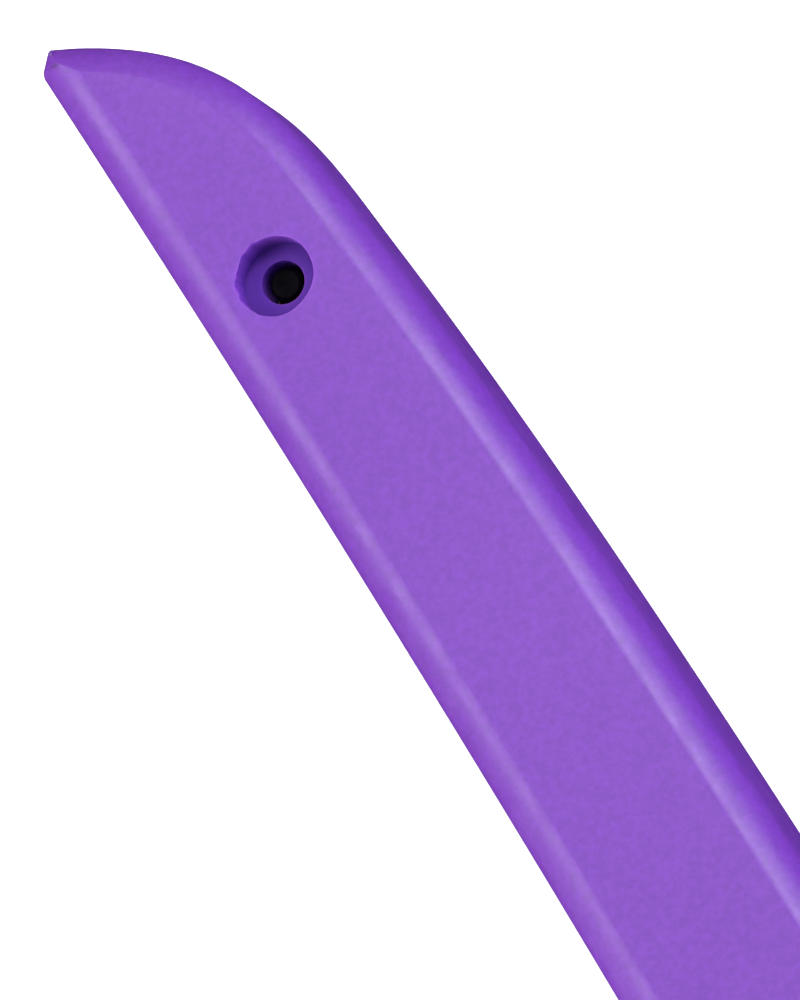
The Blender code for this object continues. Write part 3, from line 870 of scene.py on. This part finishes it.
class Nodes:
    """A short way to write a material's node graph."""

    def __init__(self, name):
        self.material = bpy.data.materials.new(name)
        self.material.use_nodes = True
        self.tree = self.material.node_tree
        self.shader = self.tree.nodes["Principled BSDF"]
        self.place = self.add("ShaderNodeTexCoord").outputs["Object"]

    def add(self, kind, **settings):
        node = self.tree.nodes.new(kind)
        for key, value in settings.items():
            setattr(node, key, value)
        return node

    def link(self, source, target):
        self.tree.links.new(source, target)

    def stretched(self, scale, turn=0.0):
        """Object coordinates turned about Z, then scaled along each axis."""
        turned = self.add("ShaderNodeVectorRotate", rotation_type="Z_AXIS")
        turned.inputs["Angle"].default_value = turn
        self.link(self.place, turned.inputs["Vector"])
        mapping = self.add("ShaderNodeMapping")
        mapping.inputs["Scale"].default_value = scale
        self.link(turned.outputs["Vector"], mapping.inputs["Vector"])
        return mapping.outputs["Vector"]

    def noise(self, size, detail=3.0, roughness=0.55, where=None):
        """Noise whose blotches are about size mm across, where coordinates are in metres."""
        node = self.add("ShaderNodeTexNoise")
        node.inputs["Scale"].default_value = 1.0 / (size * MM)
        node.inputs["Detail"].default_value = detail
        node.inputs["Roughness"].default_value = roughness
        self.link(where or self.place, node.inputs["Vector"])
        return node.outputs["Fac"]

    def ramp(self, value, stops):
        """A colour ramp; stops are (position, colour or grey)."""
        node = self.add("ShaderNodeValToRGB")
        elements = node.color_ramp.elements
        for element, (position, colour) in zip((elements[0], elements[1]), (stops[0], stops[-1])):
            element.position = position
            element.color = self.colour(colour)
        for position, colour in stops[1:-1]:
            elements.new(position).color = self.colour(colour)
        self.link(value, node.inputs["Fac"])
        return node.outputs["Color"]

    @staticmethod
    def colour(value):
        return (value, value, value, 1.0) if isinstance(value, float) else (*value, 1.0)

    def mix(self, first, second, amount, blend="MIX"):
        node = self.add("ShaderNodeMix", data_type="RGBA", blend_type=blend)
        for source, target in ((first, "A_Color"), (second, "B_Color"), (amount, "Factor_Float")):
            socket = next(s for s in node.inputs if s.identifier == target)
            if hasattr(source, "is_linked"):
                self.link(source, socket)
            else:
                socket.default_value = source if target == "Factor_Float" else self.colour(source)
        return next(s for s in node.outputs if s.identifier == "Result_Color")

    def bump(self, height, strength, distance, under=None):
        node = self.add("ShaderNodeBump")
        node.inputs["Strength"].default_value = strength
        node.inputs["Distance"].default_value = distance * MM
        self.link(height, node.inputs["Height"])
        if under:
            self.link(under, node.inputs["Normal"])
        return node.outputs["Normal"]

    def finish(self, colour, roughness, normal, **constants):
        for value, name in ((colour, "Base Color"), (roughness, "Roughness"), (normal, "Normal")):
            self.link(value, self.shader.inputs[name])
        for name, value in constants.items():
            self.shader.inputs[name.replace("_", " ")].default_value = value
        return self.material


def moulded_plastic():
    """Satin purple polypropylene: faint flow marks, fine mottling, scuffed high spots, and painted shade in
    the screw's recess.
    """
    m = Nodes("purple_plastic_moulded")
    flow = m.noise(14.0, 4.0, 0.5, m.stretched((0.35, 1.0, 1.0), REST_OPENING))
    speck = m.noise(0.35, 4.0, 0.6)
    base = m.ramp(flow, [(0.3, PLASTIC_DEEP), (0.7, PLASTIC_LIGHT)])
    colour = m.mix(base, m.ramp(speck, [(0.35, 0.40), (0.65, 0.60)]), 0.45, "OVERLAY")
    dust = m.ramp(m.noise(0.9, 2.0), [(0.72, 0.0), (0.8, 1.0)])
    colour = m.mix(colour, PLASTIC_SCUFF, m.mix((0.0, 0.0, 0.0), dust, 0.06))
    # Painted shade: the screw recess is coloured darker purple, and made rougher, in place of the shade
    # inside the hole
    recess_shade = m.add("ShaderNodeAttribute", attribute_name="recess_shade").outputs["Fac"]
    colour = m.mix(colour, PLASTIC_RECESS_SHADE, recess_shade)
    roughness = m.ramp(m.noise(2.2, 5.0, 0.6), [(0.3, 0.30), (0.7, 0.44)])
    roughness = m.mix(roughness, 0.8, recess_shade)
    fine = m.bump(m.noise(0.16, 3.0), 0.22, 0.02)
    normal = m.bump(m.noise(2.6, 2.0), 0.16, 0.10, fine)
    return m.finish(
        colour, roughness, normal, IOR=1.49, Subsurface_Weight=0.5, Subsurface_Scale=MM,
        Subsurface_Radius=PLASTIC_SCATTER,
    )


def brushed_steel(name, turn):
    """Stainless sheet ground across the blade, with fine scratches along it; turn lays it along +X."""
    m = Nodes(name)
    grain = m.noise(0.5, 6.0, 0.7, m.stretched((4.0, 0.12, 1.0), turn))
    scratch = m.ramp(m.noise(1.6, 8.0, 0.8, m.stretched((0.06, 5.0, 1.0), turn)), [(0.62, 0.0), (0.66, 1.0)])
    colour = m.ramp(grain, [(0.3, (0.50, 0.50, 0.515)), (0.7, (0.66, 0.66, 0.665))])
    colour = m.mix(colour, (0.78, 0.78, 0.79), m.mix((0.0, 0.0, 0.0), scratch, 0.35))
    roughness = m.ramp(grain, [(0.25, 0.20), (0.75, 0.36)])
    normal = m.bump(grain, 0.25, 0.01)
    return m.finish(colour, roughness, normal, Metallic=1.0, Anisotropic=0.4)


def black_oxide():
    m = Nodes("black_oxide")
    cloud = m.noise(0.8, 5.0, 0.6)
    colour = m.ramp(cloud, [(0.3, (0.001, 0.001, 0.002)), (0.75, (0.005, 0.004, 0.006))])
    roughness = m.ramp(m.noise(0.25, 3.0), [(0.3, 0.50), (0.7, 0.7)])
    return m.finish(colour, roughness, m.bump(m.noise(0.12, 3.0), 0.3, 0.01), Specular_IOR_Level=0.03)


def nickel_plate():
    m = Nodes("nickel_plated")
    cloud = m.noise(1.8, 4.0)
    colour = m.ramp(cloud, [(0.3, (0.60, 0.58, 0.55)), (0.7, (0.74, 0.72, 0.69))])
    turned = m.add("ShaderNodeTexWave", wave_type="RINGS", rings_direction="Z")
    turned.inputs["Scale"].default_value = 1 / (0.9 * MM)
    turned.inputs["Distortion"].default_value = 1.5
    turned.inputs["Detail"].default_value = 3.0
    m.link(m.place, turned.inputs["Vector"])
    roughness = m.ramp(m.noise(0.6, 6.0, 0.7), [(0.3, 0.16), (0.7, 0.32)])
    return m.finish(colour, roughness, m.bump(turned.outputs["Fac"], 0.12, 0.01), Metallic=1.0)


def nylon():
    m = Nodes("white_nylon_moulded")
    cloud = m.noise(1.5, 4.0)
    colour = m.ramp(cloud, [(0.3, (0.74, 0.73, 0.68)), (0.7, (0.84, 0.83, 0.79))])
    roughness = m.ramp(m.noise(0.4, 3.0), [(0.3, 0.42), (0.7, 0.58)])
    return m.finish(colour, roughness, m.bump(m.noise(0.2, 3.0), 0.2, 0.01), IOR=1.53)


def floor_paper():
    m = Nodes("pale_paper")
    cloud = m.noise(40.0, 4.0)
    colour = m.ramp(cloud, [(0.3, 0.90), (0.7, 0.93)])
    roughness = m.ramp(cloud, [(0.3, 0.85), (0.7, 0.95)])
    m.shader.inputs["Emission Color"].default_value = (1.0, 1.0, 1.0, 1.0)
    m.shader.inputs["Emission Strength"].default_value = FLOOR_GLOW
    return m.finish(colour, roughness, m.bump(m.noise(0.8, 3.0), 0.05, 0.02), Specular_IOR_Level=0.1)


# --- stage, lights and camera ---------------------------------------------------------------------


def stage():
    """A plain pale sheet of paper under the scissors."""
    body = bmesh.new()
    bmesh.ops.create_grid(body, x_segments=8, y_segments=8, size=FLOOR_SIZE * MM)
    item = object_of("floor", body)
    if item.data.polygons[0].normal.z < 0:
        item.data.flip_normals()
    item.location.z = -FLOOR_GAP * MM
    item.data.materials.append(floor_paper())
    item.visible_glossy = item.visible_diffuse = False
    bpy.context.scene.collection.objects.link(item)


def arm_direction(tilt, towards):
    """A direction in the thumb arm's frame: tilt from its outward axis, towards an angle round that axis."""
    return Vector((math.sin(tilt) * math.cos(towards), math.sin(tilt) * math.sin(towards), math.cos(tilt)))


def facing(place, target, up):
    """The rotation that looks from a place to a target with up upwards."""
    back = (place - target).normalized()
    right = up.cross(back).normalized()
    return Matrix((right, back.cross(right), back)).transposed().to_4x4()


def area_light(name, tilt, towards, size, power, tint):
    light = bpy.data.lights.new(name, "AREA")
    light.color = tint
    light.shape = "RECTANGLE"
    light.size, light.size_y = (side * MM for side in size)
    light.energy = power
    item = bpy.data.objects.new(name, light)
    place = arm_direction(tilt, towards) * LAMP_DISTANCE
    up = Vector((math.cos(towards), math.sin(towards), 0.0))
    local = Matrix.Translation((Vector(LOOK_AT) + place) * MM) @ facing(place, Vector((0, 0, 0)), up)
    item.matrix_world = THUMB_FRAME @ local
    bpy.context.scene.collection.objects.link(item)


def camera():
    data = bpy.data.cameras.new("camera")
    data.sensor_fit = "VERTICAL"
    data.sensor_height = SENSOR
    data.lens = LENS
    data.clip_start, data.clip_end = CLIP
    tilt_round = CAMERA_TOWARDS + math.pi / 2
    tilting = Matrix.Rotation(CAMERA_TILT, 4, Vector((math.cos(tilt_round), math.sin(tilt_round), 0.0)))
    upright = Matrix.Rotation(CAMERA_ROLL, 4, "Z")
    back = tilting @ Vector((0, 0, 1))
    local = Matrix.Translation((Vector(LOOK_AT) + back * CAMERA_DISTANCE) * MM) @ tilting @ upright
    item = bpy.data.objects.new("camera", data)
    item.matrix_world = THUMB_FRAME @ local
    bpy.context.scene.collection.objects.link(item)
    bpy.context.scene.camera = item


def world():
    surround = bpy.data.worlds.new("studio")
    surround.use_nodes = True
    tree = surround.node_tree
    height = tree.nodes.new("ShaderNodeSeparateXYZ")
    tree.links.new(tree.nodes.new("ShaderNodeTexCoord").outputs["Generated"], height.inputs["Vector"])
    spread = tree.nodes.new("ShaderNodeMapRange")
    spread.inputs["From Min"].default_value = -1.0
    tree.links.new(height.outputs["Z"], spread.inputs["Value"])
    sky = tree.nodes.new("ShaderNodeValToRGB")
    elements = sky.color_ramp.elements
    elements[0].position, elements[1].position = SKY[0][0], SKY[-1][0]
    elements.new(SKY[1][0])
    for element, (_, grey) in zip(elements, SKY):
        element.color = (grey, grey, grey, 1.0)
    tree.links.new(spread.outputs["Result"], sky.inputs["Fac"])
    tree.links.new(sky.outputs["Color"], tree.nodes["Background"].inputs["Color"])
    bpy.context.scene.world = surround
    bpy.context.scene.view_settings.view_transform = "Standard"


purple = moulded_plastic()
thumb_steel = brushed_steel("stainless_brushed_thumb", REST_OPENING)
finger_steel = brushed_steel("stainless_brushed_finger", 0.0)
black = black_oxide()
nickel = nickel_plate()
white_nylon = nylon()

world()
stage()
camera()
for lamp in LAMPS:
    area_light(*lamp)

thumb_arm()
finger_arm()
for side, where, wave_sign, metal in (
    ("thumb", THUMB_FRAME, 1, thumb_steel),
    ("finger", FINGER_FRAME, -1, finger_steel),
):
    sheet = blade(side + "_blade_sheet", wave_sign)
    finish_piece(sheet, where, side + "_side", side + "_blade", metal)
for side, where in (("thumb", THUMB_FRAME), ("finger", FINGER_FRAME)):
    screw = blade_screw(side + "_blade_pan_screw")
    finish_piece(screw, where, side + "_side", side + "_blade_screw", black)
table = Matrix.Identity(4)
finish_piece(pivot_screw(), table, "finger_side", "pivot_screw", nickel)
finish_piece(pivot_nut(), table, "finger_side", "pivot_nut", nickel)
inner, outer, thickness = WAVE_WASHER
low = 2 * TOP - HEAD_THICKNESS - GAP - thickness
wave = washer(
    "wave_washer_ring", inner, outer, low, low + thickness, WAVE_WASHER_EDGE, WAVE_WASHER_HUMPS,
    WAVE_WASHER_RISE,
)
finish_piece(wave, table, "thumb_side", "wave_washer", nickel)
half = FLANGE_FACE - GAP
spacer = washer("spacer_washer_ring", PIVOT_BORE, SPACER_RADIUS, TOP - half, TOP + half, SPACER_EDGE)
finish_piece(spacer, table, "finger_side", "spacer_washer", white_nylon)
